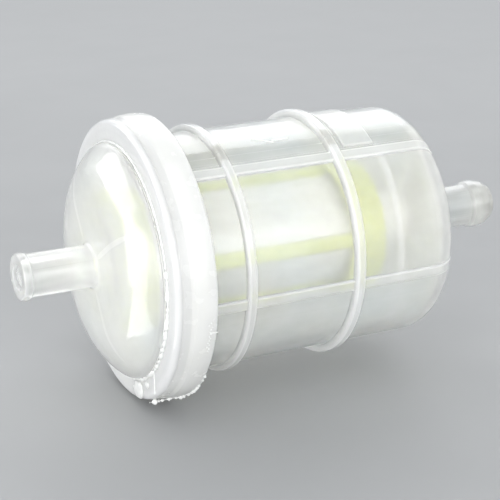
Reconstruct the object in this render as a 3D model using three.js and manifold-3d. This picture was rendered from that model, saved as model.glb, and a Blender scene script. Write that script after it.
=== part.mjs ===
// Inline fuel filter for an 8 mm hose, in millimetres.
// The flow axis is X: fuel enters at -X and leaves at +X. +Z is up, and the origin is the
// middle of the object's length, on the flow axis.
//
// Angles around the axis are in degrees from the front (-Y), turning up towards +Z.

import * as THREE from 'three';
import * as BufferGeometryUtils from 'three/addons/utils/BufferGeometryUtils.js';
import Module from 'manifold-3d';

const wasm = await Module();
wasm.setup();

// ---- driving dimensions -------------------------------------------------------------------

const CLEARANCE = 0.3;          // gap between two separate pieces that meet
const TURN_SIDES = 48;          // flats around a turned piece, divisible by 4

const HALF_LENGTH = 49;         // nozzle tip to the middle of the object
const BORE_RADIUS = 2.35;       // fuel passage through both nozzles
const NOZZLE_RADIUS = 3.95;     // plain part of the inlet nozzle, under an 8 mm hose
const OUTLET_RADIUS = 4.1;      // plain part of the outlet nozzle

// Bead around the inlet's tip: [distance from the tip, radius].
const INLET_BEAD = [[0, 3.9], [0.5, 4.3], [1, 4.4], [1.4, 4.4], [1.8, NOZZLE_RADIUS]];
// Swelling at the outlet's tip that holds the hose: [distance from the tip, radius].
const OUTLET_BARB = [[5.25, OUTLET_RADIUS], [4.75, 4.55], [3.95, 4.65], [3.35, 4.7], [2.05, 4.5],
  [0.7, OUTLET_RADIUS], [0, 3.4]];

const CAP_FACE_X = -35.3;       // flat front face of the domed end cap
const CAP_FACE_FILLET = 0.5;    // where the nozzle rises from the face
const CAP_CROWN_RADIUS = 13;    // large rounding from the face to the shoulder
const CAP_CROWN_START = 11.3;   // where the flat face turns into the crown
const CAP_CROWN_SWEEP = 50;     // degrees
const CAP_SHOULDER_RADIUS = 2;  // small rounding from the crown to the side
const CAP_SHOULDER_SWEEP = 88;  // degrees
const CAP_WALL = 1.7;
const CAP_FLANGE_RADIUS = 25.85;
const CAP_FLANGE_FRONT_X = -29.25;
const CAP_FLANGE_BACK_X = -26.6;
const CAP_FLANGE_ROUNDING = 1;
const CAP_SPIGOT_END_X = -21.9; // the spigot centres the cap in the housing's mouth
const CAP_SPIGOT_WALL = 1.6;
const CAP_SPIGOT_GAP = 0.4;     // free play around the spigot inside the mouth
const CAP_RIB_FREE_X = -31.5;   // stand-off ribs stop just short of the filter element
const CAP_RIB_INNER = 5.4;
const CAP_RIB_SWEEP = 37;       // degrees of the crown that each rib follows
const CAP_RIB_THICKNESS = 1;
const CAP_RIB_ANGLES = [-55.6, 34.4, 124.4, 214.4];

const RING_RADIUS = 26.2;       // joint ring around both flanges
const RING_CROWN = 0.2;         // how far its middle bulges
const RING_FRONT_X = -26.3;
const RING_BACK_X = -21.55;
const RING_ROUNDING = 0.7;
const RING_BORE_GAP = 0.7;      // free play around the spigot where the ring's lip reaches in

const BODY_RADIUS_MOUTH = 22;   // slight draft towards the outlet end
const BODY_RADIUS_END = 21.8;
const BODY_WALL = 1.9;
const BODY_FLANGE_RADIUS = 24.4;
const BODY_FLANGE_FRONT_X = -24.9;
const BODY_FLANGE_BACK_X = -22.9;
const BODY_CORNER_RADIUS = 5.2;
const BODY_END_X = 30.05;
const BODY_END_WALL = 1.6;

const HOOP_RIBS = [
  { startX: -14.25, endX: -12.55, radius: 23.2 },
  { startX: 7.25, endX: 9.05, radius: 23.5 },
];
const HOOP_RIB_EDGE = 0.3;      // rounding of a hoop rib's two edges
const INNER_HOOP = { startX: 17.1, endX: 18.5, height: 0.6 };

const LONG_RIB_ANGLES = [-8.6, 55.8, 171.4, 235.8];
const LONG_RIB_WIDTH = 2;
const LONG_RIB_HEIGHT = 0.6;

const PAD_START_X = 10.7;       // raised blank label pad
const PAD_END_X = 16.85;
const PAD_MIDDLE_ANGLE = 90;
const PAD_SWEEP = 58;           // degrees
const PAD_HEIGHT = 0.5;

const END_RIB_ANGLES = [-19.5, 70.5, 160.5, 250.5];
const END_RIB_OUTER = 14;
const END_RIB_HEIGHT = 1.4;      // beside the hub, sloping down to its outer height
const END_RIB_OUTER_HEIGHT = 0.4;
const END_RIB_ROOT = 1;         // how far it runs into the hub, and on at full height
const END_RIB_THICKNESS = 1;

const HUB_RADIUS = 5.2;         // tube that carries clean fuel from the element to the outlet
const HUB_START_X = 14;

const ELEMENT_EDGE = 0.4;       // chamfer on the element's two end pieces

const OUTLET_RING_RADIUS = 12.5;
const OUTLET_RING_START_X = 12.1;
const OUTLET_RING_END_X = 19;
const OUTLET_RING_PLATE = 2;
const OUTLET_RING_RIM = 0.9;
const OUTLET_SOCKET_WALL = 1.1;
const OUTLET_SOCKET_START_X = 13.4;

const INLET_DISC_RADIUS = 13;
const INLET_DISC_FRONT_X = -31.2;
const INLET_DISC_PLATE = 1.4;
const INLET_DISC_RIM = 0.9;
const INLET_DISC_RIM_END_X = -25;

const CAGE_ANGLES = [5.5, 95.5, 185.5, 275.5];
const BAR_OUTER = 12.1;
const BAR_THICKNESS = 1.7;
const BAR_WIDTH = 2.6;
const BAR_ROUNDING = 0.5;

const MESH_THICKNESS = 0.6;
const MESH_HALF_WIDTH = 6.1;    // reaches between two bars
const MESH_EDGE_DISTANCE = 8.2; // from the axis to the panel's outer face, beside the bars
const MESH_BULGE = 1.2;         // how far a panel's middle stands out from flat
const MESH_STEPS = 8;           // flats across a panel's bulge

// ---- materials ----------------------------------------------------------------------------

const material = (color, roughness) => new THREE.MeshStandardMaterial({ color, roughness, metalness: 0 });
const CLEAR_PLASTIC = () => material(0xe6e8e2, 0.25);
const MILKY_PLASTIC = () => material(0xf4f5f0, 0.35);
const YELLOW_PLASTIC = () => material(0xd3e06a, 0.4);
const MESH_CLOTH = () => material(0xf2f1e8, 0.85);

// ---- geometry helpers ---------------------------------------------------------------------

const radians = THREE.MathUtils.degToRad;

// Points of an arc in the (x, radius) plane. An angle of 0 points to -X and 90 points outwards.
function arc(centreX, centreRadius, radius, fromDegrees, toDegrees, steps) {
  const points = [];
  for (let step = 0; step <= steps; step += 1) {
    const angle = radians(fromDegrees + ((toDegrees - fromDegrees) * step) / steps);
    points.push([centreX - radius * Math.cos(angle), centreRadius + radius * Math.sin(angle)]);
  }
  return points;
}

// A closed outline of [x, radius] points, turned about the X axis. The outline runs along the
// outside towards +X and comes back along the inside. A flat faces straight down.
function turned(outline) {
  const points = [...outline, outline[0]].map(([x, radius]) => new THREE.Vector2(radius, x));
  const halfFlat = Math.PI / TURN_SIDES;
  const geometry = new THREE.LatheGeometry(points, TURN_SIDES, halfFlat, Math.PI * 2);
  return geometry.rotateZ(-Math.PI / 2);
}

// A plate that stands radially: an outline of [x, radius] points given a thickness, at an angle.
function radialPlate(outline, thickness, angle) {
  const shape = new THREE.Shape(outline.map(([x, radius]) => new THREE.Vector2(x, radius)));
  const geometry = new THREE.ExtrudeGeometry(shape, { depth: thickness, bevelEnabled: false });
  geometry.translate(0, 0, -thickness / 2);
  return geometry.rotateX(radians(180 - angle));
}

// A bar along X: an outline of [across, radius] points swept from startX to endX, at an angle.
function lengthwise(outline, startX, endX, angle) {
  const shape = new THREE.Shape(outline.map(([across, radius]) => new THREE.Vector2(across, radius)));
  const geometry = new THREE.ExtrudeGeometry(shape, { depth: endX - startX, bevelEnabled: false });
  geometry.rotateY(Math.PI / 2);
  geometry.translate(startX, 0, 0);
  return geometry.rotateX(radians(180 - angle));
}

function toSolid(geometry) {
  const bare = geometry.clone();
  bare.deleteAttribute('normal');
  bare.deleteAttribute('uv');
  const merged = BufferGeometryUtils.mergeVertices(bare, 1e-4);
  return new wasm.Manifold(new wasm.Mesh({
    numProp: 3,
    vertProperties: new Float32Array(merged.attributes.position.array),
    triVerts: new Uint32Array(merged.index.array),
  }));
}

function toGeometry(solid) {
  const { vertProperties, triVerts } = solid.getMesh();
  const geometry = new THREE.BufferGeometry();
  geometry.setAttribute('position', new THREE.BufferAttribute(vertProperties, 3));
  geometry.setIndex(new THREE.BufferAttribute(triVerts, 1));
  geometry.computeVertexNormals();
  return geometry;
}

function joined(geometries) {
  const [first, ...others] = geometries.map(toSolid);
  return toGeometry(others.reduce((whole, other) => whole.add(other), first));
}

// ---- housing body -------------------------------------------------------------------------

const BODY_CORNER_START_X = BODY_END_X - BODY_CORNER_RADIUS;

// Outside radius of the cylindrical wall at x, with its draft.
function bodyRadius(x) {
  const share = (x - RING_BACK_X) / (BODY_CORNER_START_X - RING_BACK_X);
  return BODY_RADIUS_MOUTH + (BODY_RADIUS_END - BODY_RADIUS_MOUTH) * share;
}

function hoopRibOutline({ startX, endX, radius }) {
  return [
    [startX, bodyRadius(startX)],
    [startX, radius - HOOP_RIB_EDGE],
    [startX + HOOP_RIB_EDGE, radius],
    [endX - HOOP_RIB_EDGE, radius],
    [endX, radius - HOOP_RIB_EDGE],
    [endX, bodyRadius(endX)],
  ];
}

function bodyShell() {
  const cornerRadial = BODY_RADIUS_END - BODY_CORNER_RADIUS;
  const innerEndX = BODY_END_X - BODY_END_WALL;
  const innerCorner = BODY_CORNER_RADIUS - BODY_WALL;
  const innerRadius = (x) => bodyRadius(x) - BODY_WALL;
  return turned([
    [BODY_FLANGE_FRONT_X, innerRadius(BODY_FLANGE_FRONT_X)],
    [BODY_FLANGE_FRONT_X, BODY_FLANGE_RADIUS],
    [BODY_FLANGE_BACK_X, BODY_FLANGE_RADIUS],
    [BODY_FLANGE_BACK_X, BODY_RADIUS_MOUTH],
    ...HOOP_RIBS.flatMap(hoopRibOutline),
    ...arc(BODY_CORNER_START_X, cornerRadial, BODY_CORNER_RADIUS, 90, 180, 6),
    [BODY_END_X, OUTLET_RADIUS],
    ...OUTLET_BARB.map(([distance, radius]) => [HALF_LENGTH - distance, radius]),
    [HALF_LENGTH, BORE_RADIUS],
    [HUB_START_X, BORE_RADIUS],
    [HUB_START_X, HUB_RADIUS],
    [innerEndX, HUB_RADIUS],
    ...arc(innerEndX - innerCorner, cornerRadial, innerCorner, 180, 90, 5),
    [INNER_HOOP.endX, innerRadius(INNER_HOOP.endX)],
    [INNER_HOOP.endX, innerRadius(INNER_HOOP.endX) - INNER_HOOP.height],
    [INNER_HOOP.startX, innerRadius(INNER_HOOP.startX) - INNER_HOOP.height],
    [INNER_HOOP.startX, innerRadius(INNER_HOOP.startX)],
  ]);
}

// Follows the wall from the joint ring, round the corner and onto the end wall.
function longRib(angle) {
  const startX = RING_BACK_X + CLEARANCE;
  const cornerRadial = BODY_RADIUS_END - BODY_CORNER_RADIUS;
  const outerCorner = BODY_CORNER_RADIUS + LONG_RIB_HEIGHT;
  const embedded = BODY_CORNER_RADIUS - BODY_WALL / 2;
  return radialPlate([
    [startX, bodyRadius(startX) + LONG_RIB_HEIGHT],
    ...arc(BODY_CORNER_START_X, cornerRadial, outerCorner, 90, 150, 4),
    ...arc(BODY_CORNER_START_X, cornerRadial, embedded, 150, 90, 4),
    [startX, bodyRadius(startX) - BODY_WALL / 2],
  ], LONG_RIB_WIDTH, angle);
}

function labelPad() {
  const half = PAD_SWEEP / 2;
  const outside = BODY_RADIUS_END + PAD_HEIGHT;
  const embedded = BODY_RADIUS_END - BODY_WALL / 2;
  const outline = [
    ...arc(0, 0, outside, 90 - half, 90 + half, 8),
    ...arc(0, 0, embedded, 90 + half, 90 - half, 8),
  ];
  return lengthwise(outline, PAD_START_X, PAD_END_X, PAD_MIDDLE_ANGLE);
}

function endRib(angle) {
  const innerX = BODY_END_X - BODY_END_WALL;
  return radialPlate([
    [innerX - END_RIB_HEIGHT, HUB_RADIUS - END_RIB_ROOT],
    [innerX - END_RIB_HEIGHT, HUB_RADIUS + END_RIB_ROOT],
    [innerX - END_RIB_OUTER_HEIGHT, END_RIB_OUTER],
    [innerX + BODY_END_WALL / 2, END_RIB_OUTER],
    [innerX + BODY_END_WALL / 2, HUB_RADIUS - END_RIB_ROOT],
  ], END_RIB_THICKNESS, angle);
}

function housingBody() {
  return joined([
    bodyShell(),
    ...LONG_RIB_ANGLES.map(longRib),
    labelPad(),
    ...END_RIB_ANGLES.map(endRib),
  ]);
}

// ---- end cap ------------------------------------------------------------------------------

const CROWN_CENTRE_X = CAP_FACE_X + CAP_CROWN_RADIUS;
const SPIGOT_RADIUS = BODY_RADIUS_MOUTH - BODY_WALL - CAP_SPIGOT_GAP;

function capShell() {
  const outer = CAP_CROWN_RADIUS - CAP_SHOULDER_RADIUS;
  const shoulderX = CROWN_CENTRE_X - outer * Math.cos(radians(CAP_CROWN_SWEEP));
  const shoulderRadial = CAP_CROWN_START + outer * Math.sin(radians(CAP_CROWN_SWEEP));
  const innerCrown = CAP_CROWN_RADIUS - CAP_WALL;
  const spigotInner = SPIGOT_RADIUS - CAP_SPIGOT_WALL;
  const flangeEdge = CAP_FLANGE_RADIUS - CAP_FLANGE_ROUNDING;
  return turned([
    [-HALF_LENGTH, BORE_RADIUS],
    ...INLET_BEAD.map(([distance, radius]) => [distance - HALF_LENGTH, radius]),
    [CAP_FACE_X - CAP_FACE_FILLET, NOZZLE_RADIUS],
    [CAP_FACE_X, NOZZLE_RADIUS + CAP_FACE_FILLET],
    ...arc(CROWN_CENTRE_X, CAP_CROWN_START, CAP_CROWN_RADIUS, 0, CAP_CROWN_SWEEP, 6),
    ...arc(shoulderX, shoulderRadial, CAP_SHOULDER_RADIUS, CAP_CROWN_SWEEP, CAP_SHOULDER_SWEEP, 3).slice(1),
    [CAP_FLANGE_FRONT_X, shoulderRadial + CAP_SHOULDER_RADIUS],
    ...arc(CAP_FLANGE_FRONT_X + CAP_FLANGE_ROUNDING, flangeEdge, CAP_FLANGE_ROUNDING, 0, 90, 3),
    [CAP_FLANGE_BACK_X, CAP_FLANGE_RADIUS],
    [CAP_FLANGE_BACK_X, SPIGOT_RADIUS],
    [CAP_SPIGOT_END_X, SPIGOT_RADIUS],
    [CAP_SPIGOT_END_X, spigotInner],
    [CAP_FLANGE_BACK_X, spigotInner],
    ...arc(CROWN_CENTRE_X, CAP_CROWN_START, innerCrown, CAP_CROWN_SWEEP, 0, 5),
    [CAP_FACE_X + CAP_WALL, BORE_RADIUS],
  ]);
}

// A low fin on the inside of the face that keeps the filter element clear of it.
function capRib(angle) {
  const middleOfWall = CAP_CROWN_RADIUS - CAP_WALL / 2;
  const buried = arc(CROWN_CENTRE_X, CAP_CROWN_START, middleOfWall, 0, CAP_RIB_SWEEP, 4);
  const [, outerEnd] = buried[buried.length - 1];
  return radialPlate([
    [CAP_RIB_FREE_X, CAP_RIB_INNER],
    [CAP_FACE_X + CAP_WALL / 2, CAP_RIB_INNER],
    ...buried,
    [CAP_RIB_FREE_X, outerEnd],
  ], CAP_RIB_THICKNESS, angle);
}

function endCap() {
  return joined([capShell(), ...CAP_RIB_ANGLES.map(capRib)]);
}

// ---- joint ring ---------------------------------------------------------------------------

// A channel that wraps the housing's flange and butts against the cap's.
function jointRing() {
  const edge = RING_RADIUS - RING_ROUNDING;
  const channel = BODY_FLANGE_RADIUS + CLEARANCE;
  const channelFrontX = BODY_FLANGE_FRONT_X - CLEARANCE;
  const channelBackX = BODY_FLANGE_BACK_X + CLEARANCE;
  const middleX = (RING_FRONT_X + RING_BACK_X) / 2;
  const bore = SPIGOT_RADIUS + RING_BORE_GAP;
  return turned([
    [RING_FRONT_X, bore],
    [RING_FRONT_X, RING_RADIUS],
    [middleX, RING_RADIUS + RING_CROWN],
    ...arc(RING_BACK_X - RING_ROUNDING, edge, RING_ROUNDING, 90, 180, 3),
    [RING_BACK_X, BODY_RADIUS_MOUTH + CLEARANCE],
    [channelBackX, BODY_RADIUS_MOUTH + CLEARANCE],
    [channelBackX, channel],
    [channelFrontX, channel],
    [channelFrontX, bore],
  ]);
}

// ---- filter element -----------------------------------------------------------------------

// Plate with an outer rim and a socket that plugs over the hub.
function elementOutletRing() {
  const plateX = OUTLET_RING_END_X - OUTLET_RING_PLATE;
  const socketInner = HUB_RADIUS + CLEARANCE;
  const socketOuter = socketInner + OUTLET_SOCKET_WALL;
  return turned([
    [OUTLET_RING_START_X, OUTLET_RING_RADIUS - OUTLET_RING_RIM],
    [OUTLET_RING_START_X, OUTLET_RING_RADIUS],
    [OUTLET_RING_END_X - ELEMENT_EDGE, OUTLET_RING_RADIUS],
    [OUTLET_RING_END_X, OUTLET_RING_RADIUS - ELEMENT_EDGE],
    [OUTLET_RING_END_X, socketInner],
    [OUTLET_SOCKET_START_X, socketInner],
    [OUTLET_SOCKET_START_X, socketOuter],
    [plateX, socketOuter],
    [plateX, OUTLET_RING_RADIUS - OUTLET_RING_RIM],
  ]);
}

// Closed cup that ends the element on the inlet side.
function elementInletDisc() {
  const plateX = INLET_DISC_FRONT_X + INLET_DISC_PLATE;
  return turned([
    [INLET_DISC_FRONT_X, 0],
    [INLET_DISC_FRONT_X, INLET_DISC_RADIUS - ELEMENT_EDGE],
    [INLET_DISC_FRONT_X + ELEMENT_EDGE, INLET_DISC_RADIUS],
    [INLET_DISC_RIM_END_X, INLET_DISC_RADIUS],
    [INLET_DISC_RIM_END_X, INLET_DISC_RADIUS - INLET_DISC_RIM],
    [plateX, INLET_DISC_RADIUS - INLET_DISC_RIM],
    [plateX, 0],
  ]);
}

function elementBar(angle) {
  const half = BAR_WIDTH / 2;
  const inside = BAR_OUTER - BAR_THICKNESS;
  return lengthwise([
    [-half, inside],
    [half, inside],
    [half, BAR_OUTER - BAR_ROUNDING],
    [half - BAR_ROUNDING, BAR_OUTER],
    [-half + BAR_ROUNDING, BAR_OUTER],
    [-half, BAR_OUTER - BAR_ROUNDING],
  ], INLET_DISC_RIM_END_X + CLEARANCE, OUTLET_RING_START_X - CLEARANCE, angle);
}

// One slightly bulged panel between the bars at angle and angle + 90.
function filterMesh(angle) {
  const outside = [];
  for (let step = 0; step <= MESH_STEPS; step += 1) {
    const share = (2 * step) / MESH_STEPS - 1;
    outside.push([share * MESH_HALF_WIDTH, MESH_EDGE_DISTANCE + MESH_BULGE * (1 - share ** 2)]);
  }
  const inside = outside.map(([across, distance]) => [across, distance - MESH_THICKNESS]).reverse();
  const outline = [...outside, ...inside];
  const startX = INLET_DISC_FRONT_X + INLET_DISC_PLATE + CLEARANCE;
  const endX = OUTLET_RING_END_X - OUTLET_RING_PLATE - CLEARANCE;
  return lengthwise(outline, startX, endX, angle + 45);
}

// ---- assembly -----------------------------------------------------------------------------

function named(name, geometry, finish) {
  const mesh = new THREE.Mesh(geometry, finish);
  mesh.name = name;
  return mesh;
}

const filter = new THREE.Group();

const shell = new THREE.Group();
shell.add(named('housing_body', housingBody(), CLEAR_PLASTIC()));
shell.add(named('end_cap', endCap(), CLEAR_PLASTIC()));
shell.add(named('joint_ring', jointRing(), MILKY_PLASTIC()));
filter.add(shell);

const element = new THREE.Group();
element.add(named('element_outlet_ring', elementOutletRing(), YELLOW_PLASTIC()));
element.add(named('element_inlet_disc', elementInletDisc(), YELLOW_PLASTIC()));
CAGE_ANGLES.forEach((angle, index) => {
  element.add(named(`element_bar_${index + 1}`, elementBar(angle), YELLOW_PLASTIC()));
  element.add(named(`filter_mesh_${index + 1}`, filterMesh(angle), MESH_CLOTH()));
});
filter.add(element);

export default filter;
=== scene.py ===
import math
from dataclasses import dataclass

import bmesh
import bpy
import numpy as np
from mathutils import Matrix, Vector, noise


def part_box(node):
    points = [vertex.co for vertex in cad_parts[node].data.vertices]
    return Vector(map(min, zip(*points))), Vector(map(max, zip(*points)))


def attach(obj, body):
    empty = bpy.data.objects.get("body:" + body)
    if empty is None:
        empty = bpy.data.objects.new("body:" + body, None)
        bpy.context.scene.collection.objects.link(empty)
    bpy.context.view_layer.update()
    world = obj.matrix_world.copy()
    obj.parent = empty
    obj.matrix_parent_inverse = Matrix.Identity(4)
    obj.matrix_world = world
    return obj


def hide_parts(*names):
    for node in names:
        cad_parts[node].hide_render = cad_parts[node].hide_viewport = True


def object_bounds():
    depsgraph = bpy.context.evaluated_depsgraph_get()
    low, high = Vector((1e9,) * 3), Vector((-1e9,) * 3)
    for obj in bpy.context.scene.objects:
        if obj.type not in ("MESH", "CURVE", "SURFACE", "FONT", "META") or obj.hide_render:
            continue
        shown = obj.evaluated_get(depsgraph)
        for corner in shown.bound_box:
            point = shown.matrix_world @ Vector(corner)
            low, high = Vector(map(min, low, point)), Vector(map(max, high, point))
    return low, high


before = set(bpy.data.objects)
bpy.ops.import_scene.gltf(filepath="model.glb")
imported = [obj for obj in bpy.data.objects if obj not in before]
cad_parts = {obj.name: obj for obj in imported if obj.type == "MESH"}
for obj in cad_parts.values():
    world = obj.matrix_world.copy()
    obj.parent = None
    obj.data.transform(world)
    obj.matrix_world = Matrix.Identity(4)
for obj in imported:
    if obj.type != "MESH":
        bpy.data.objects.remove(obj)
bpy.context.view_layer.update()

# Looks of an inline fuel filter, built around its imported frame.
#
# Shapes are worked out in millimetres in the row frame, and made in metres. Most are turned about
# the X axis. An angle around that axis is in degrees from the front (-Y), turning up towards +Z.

MM = 0.001
CAD_SIDES = 48                        # flats of the CAD model's turned pieces
FLAT_TO_ROUND = 1 / math.cos(math.pi / CAD_SIDES)


def extent(node):
    """A CAD node's lowest and highest corners, in millimetres."""
    low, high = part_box(node)
    return np.array(low) / MM, np.array(high) / MM


def turned_radius(node):
    """The radius of the circle that a turned CAD node's flats stand in for."""
    return extent(node)[1][1] * FLAT_TO_ROUND


# ---- dimensions, in millimetres ----

INLET_TIP_X = extent("end_cap")[0][0]
SPIGOT_END_X = extent("end_cap")[1][0]
FLANGE_RADIUS = turned_radius("end_cap")
OUTLET_TIP_X = extent("housing_body")[1][0]
MOUTH_X = extent("housing_body")[0][0]
RING_BACK_X = extent("joint_ring")[1][0]
RING_FRONT_X = extent("joint_ring")[0][0]
RING_CROWN_RADIUS = turned_radius("joint_ring")

BORE_RADIUS = 2.35
INLET_RADIUS = 3.95
INLET_LIP = 0.45                      # how far the inlet's tip bead stands out
INLET_LIP_LENGTH = 1.4
OUTLET_RADIUS = 4.1
BARB_HEIGHT = 0.6
BARB_LENGTH = 5.25                    # from its foot to the outlet's tip

FACE_X = INLET_TIP_X + 13.7           # flat face of the domed cap
CROWN_RADIUS = 13.0                   # large rounding from the face towards the side
CROWN_START = 11.3                    # where the flat face ends
CROWN_SWEEP = 50.0                    # degrees
SHOULDER_RADIUS = 2.0
SHOULDER_SWEEP = 88.0                 # degrees
CAP_WALL = 1.7
FLANGE_FRONT_X = -29.25
FLANGE_BACK_X = -26.6
FIN_ANGLES = (-55.6, 34.4, 124.4, 214.4)
FIN_TOP_X = -31.5                     # fins inside the cap stop at this plane
FIN_INNER_RADIUS = 5.4

WALL_RADIUS = 22.0                    # housing at the joint ring
WALL_DRAFT = 0.2                      # how much smaller it is at the far corner
WALL = 1.9
CORNER_RADIUS = 5.2
END_X = 30.05                         # outer face of the end wall
END_WALL = 1.6
MOUTH_FLANGE_RADIUS = 24.4
MOUTH_FLANGE_BACK_X = -22.9
HUB_RADIUS = 5.2
HUB_START_X = 14.0
LONG_RIB_ANGLES = (-8.6, 55.8, 171.4, 235.8)
LONG_RIB_TURN = 150                   # degrees of arc where a long rib fades out on the corner
END_RIB_ANGLES = (-19.5, 70.5, 160.5, 250.5)
END_RIB_OUTER = 14.0
FIN_FOOT = 4.0                        # the length over which an end rib thins out along the hub


# ---- outlines ----

def arc(centre_x, centre_radius, radius, start, end, step=4):
    """Points of an arc in the (x, radius) plane. 0 degrees points to -X and 90 points outwards."""
    count = max(2, math.ceil(abs(end - start) / step)) + 1
    angle = np.radians(np.linspace(start, end, count))
    return np.column_stack([centre_x - radius * np.cos(angle), centre_radius + radius * np.sin(angle)])


def rounded(corners, closed=False, step=15):
    """A polyline whose corners, each (a, b, rounding), are arcs."""
    points = []
    for index, (a, b, rounding) in enumerate(corners):
        corner = np.array([a, b], float)
        is_end = not closed and index in (0, len(corners) - 1)
        if rounding == 0 or is_end:
            points.append(corner)
            continue
        before = np.array(corners[index - 1][:2]) - corner
        after = np.array(corners[(index + 1) % len(corners)][:2]) - corner
        before /= np.linalg.norm(before)
        after /= np.linalg.norm(after)
        half = math.acos(np.clip(before @ after, -1, 1)) / 2
        turn = math.pi - 2 * half
        middle = (before + after) / np.linalg.norm(before + after)
        centre = corner + middle * rounding / math.sin(half)
        start = corner + before * rounding / math.tan(half) - centre
        end = corner + after * rounding / math.tan(half) - centre
        steps = max(2, math.ceil(math.degrees(turn) / step))
        for share in np.linspace(0, 1, steps + 1):
            swing = start * math.sin((1 - share) * turn) + end * math.sin(share * turn)
            points.append(centre + swing / math.sin(turn))
    return np.array(points)


def spaced(points, longest):
    """The same polyline, with points added so that no stretch is longer than longest."""
    result = []
    for start, end in zip(points[:-1], points[1:]):
        pieces = max(1, math.ceil(np.linalg.norm(end - start) / longest))
        result += [start + (end - start) * k / pieces for k in range(pieces)]
    result.append(points[-1])
    return np.array(result)


# ---- meshes ----

SHARP_EDGE = 0.28                     # an edge rounded to this many millimetres is whitened most: a painted highlight
SHORT_STEP = 0.12                     # shorter mesh edges don't tell how sharp a bend is
SHARING_PASSES = 6                    # how often close vertices share their normals
ALIKE_NORMALS = math.cos(math.radians(4))


def around(x, radius, degrees):
    """Points at an angle around the X axis."""
    x, radius, angle = np.broadcast_arrays(x, radius, np.radians(degrees))
    return np.stack([x, -radius * np.cos(angle), radius * np.sin(angle)], axis=-1)


WHOLE_NUMBERS = ("vertices", "vertex_index", "loop_total")


def values_of(items, name, width=1):
    """One of a mesh's lists of numbers, as rows of that width."""
    kind = int if name in WHOLE_NUMBERS else float
    numbers = np.empty(len(items) * width, kind)
    items.foreach_get(name, numbers)
    return numbers.reshape(-1, width) if width > 1 else numbers


def unit(vectors):
    """The same directions, each one long."""
    return vectors / np.maximum(np.linalg.norm(vectors, axis=-1, keepdims=True), 1e-12)


def smooth(mesh):
    """Smooth shading with each face weighted by its area, so that flats stay flat beside roundings.

    Columns that lie idle close together share their normals, and so don't show as a crease.
    """
    mesh.shade_smooth()
    weighted = values_of(mesh.polygons, "normal", 3) * values_of(mesh.polygons, "area")[:, None]
    weighted = np.repeat(weighted, values_of(mesh.polygons, "loop_total"), axis=0)
    normals = np.zeros((len(mesh.vertices), 3))
    np.add.at(normals, values_of(mesh.loops, "vertex_index"), weighted)
    normals = unit(normals)
    first, second = values_of(mesh.edges, "vertices", 2).T
    places = values_of(mesh.vertices, "co", 3) / MM
    close = np.linalg.norm(places[second] - places[first], axis=1) < SHORT_STEP
    for _ in range(SHARING_PASSES):
        alike = (normals[first] * normals[second]).sum(axis=1) > ALIKE_NORMALS
        one, other = first[close & alike], second[close & alike]
        shared = normals.copy()
        np.add.at(shared, one, normals[other])
        np.add.at(shared, other, normals[one])
        normals = unit(shared)
    mesh.normals_split_custom_set_from_vertices(normals.tolist())


def edge_sharpness(mesh):
    """How sharply each vertex bends outwards: 0 for flat, and 1 for an edge that gets the full painted
    highlight.
    """
    places = values_of(mesh.vertices, "co", 3) / MM
    normals = values_of(mesh.vertices, "normal", 3)
    first, second = values_of(mesh.edges, "vertices", 2).T
    step = places[second] - places[first]
    turn = normals[second] - normals[first]
    length = np.maximum(np.linalg.norm(step, axis=1), 1e-4)
    bend = (step * turn).sum(axis=1) / (length * np.maximum(length, SHORT_STEP))
    sharpest = np.zeros(len(places))
    np.maximum.at(sharpest, first, bend)
    np.maximum.at(sharpest, second, bend)
    return np.clip(sharpest * SHARP_EDGE, 0, 1)


def set_values(mesh, name, values):
    """Keeps a number on every vertex, for a material to read."""
    attribute = mesh.attributes.new(name, "FLOAT", "POINT")
    attribute.data.foreach_set("value", np.ravel(values).astype(np.float32))


def grid_mesh(points, close_rows=True, **values):
    """A closed mesh over a (rows, columns, 3) grid of points whose columns close on themselves.

    Each of values is a name for the material to read, with its number at each point.
    """
    rows, columns = points.shape[:2]
    index = np.arange(rows * columns).reshape(rows, columns)
    lower = index if close_rows else index[:-1]
    upper = np.roll(index, -1, axis=0)[:len(lower)]
    quads = np.stack([lower, np.roll(lower, -1, 1), np.roll(upper, -1, 1), upper], axis=-1)
    mesh = bpy.data.meshes.new("grid")
    mesh.from_pydata((points.reshape(-1, 3) * MM).tolist(), [], quads.reshape(-1, 4).tolist())
    for name, numbers in values.items():
        set_values(mesh, name, numbers)
    return mesh


WELD_DISTANCE = 1e-7                  # metres: closer vertices are one


def mesh_object(name, *grids):
    """One object from closed grid meshes."""
    working = bmesh.new()
    for grid in grids:
        working.from_mesh(grid)
        bpy.data.meshes.remove(grid)
    bmesh.ops.remove_doubles(working, verts=working.verts, dist=WELD_DISTANCE)
    bmesh.ops.recalc_face_normals(working, faces=working.faces)
    mesh = bpy.data.meshes.new(name)
    working.to_mesh(mesh)
    working.free()
    # The edge numbers drive a painted highlight that whitens and clouds sharp edges.
    set_values(mesh, "edge", edge_sharpness(mesh))
    smooth(mesh)
    piece = bpy.data.objects.new(name, mesh)
    bpy.context.scene.collection.objects.link(piece)
    return piece


def turned(name, outline, columns=160, close_rows=True, **values):
    """An outline of (x, radius) points turned about the X axis, with values at its points."""
    degrees = np.arange(columns) * 360 / columns
    points = around(outline[:, :1], outline[:, 1:], degrees)
    spread = {key: np.repeat(numbers, columns) for key, numbers in values.items()}
    return mesh_object(name, grid_mesh(points, close_rows, **spread))


# ---- shells with raised strips ----

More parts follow.
